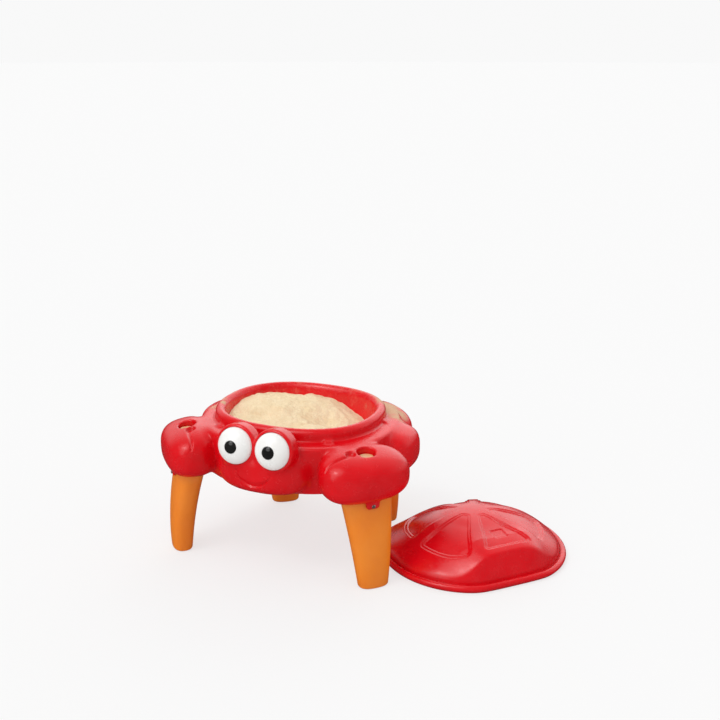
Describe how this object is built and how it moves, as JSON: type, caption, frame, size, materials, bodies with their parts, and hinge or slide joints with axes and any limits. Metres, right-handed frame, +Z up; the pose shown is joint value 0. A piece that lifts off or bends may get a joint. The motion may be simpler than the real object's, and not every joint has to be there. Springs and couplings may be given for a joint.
{
  "type": "sand table",
  "caption": "Crab-shaped moulded sand table on bowed legs, filled with sand, with its domed lid lying on the floor beside it.",
  "frame": {"origin": "on the floor, under the middle of the whole object's bounding box", "axes": "+Z up, -Y the way the crab faces, +X towards the lid lying beside the table"},
  "size_m": [1.151, 0.716, 0.4555],
  "materials": {
    "moulded_red": "satin, fine moulded texture",
    "moulded_orange": "satin, fine moulded texture",
    "eye_white": "smooth",
    "pupil_black": "glossy",
    "play_sand": "loose dry sand",
    "screw_steel": "zinc plated"
  },
  "bodies": {
    "table": {"table_body": "moulded_red", "sand_fill": "play_sand", "eye_left": "eye_white", "eye_right": "eye_white", "pupil_left": "pupil_black", "pupil_right": "pupil_black", "leg_front_left": "moulded_orange", "leg_front_right": "moulded_orange", "leg_rear_left": "moulded_orange", "leg_rear_right": "moulded_orange", "leg_screw_front_left": "screw_steel", "leg_screw_front_right": "screw_steel", "leg_screw_rear_left": "screw_steel", "leg_screw_rear_right": "screw_steel"},
    "lid": {"lid": "moulded_red"}
  },
  "joints": [
    {"name": "lid_lift", "type": "slide", "parent": "table", "child": "lid", "axis": [0.8, 0, 0.6], "range_m": [0, 0.4]}
  ]
}
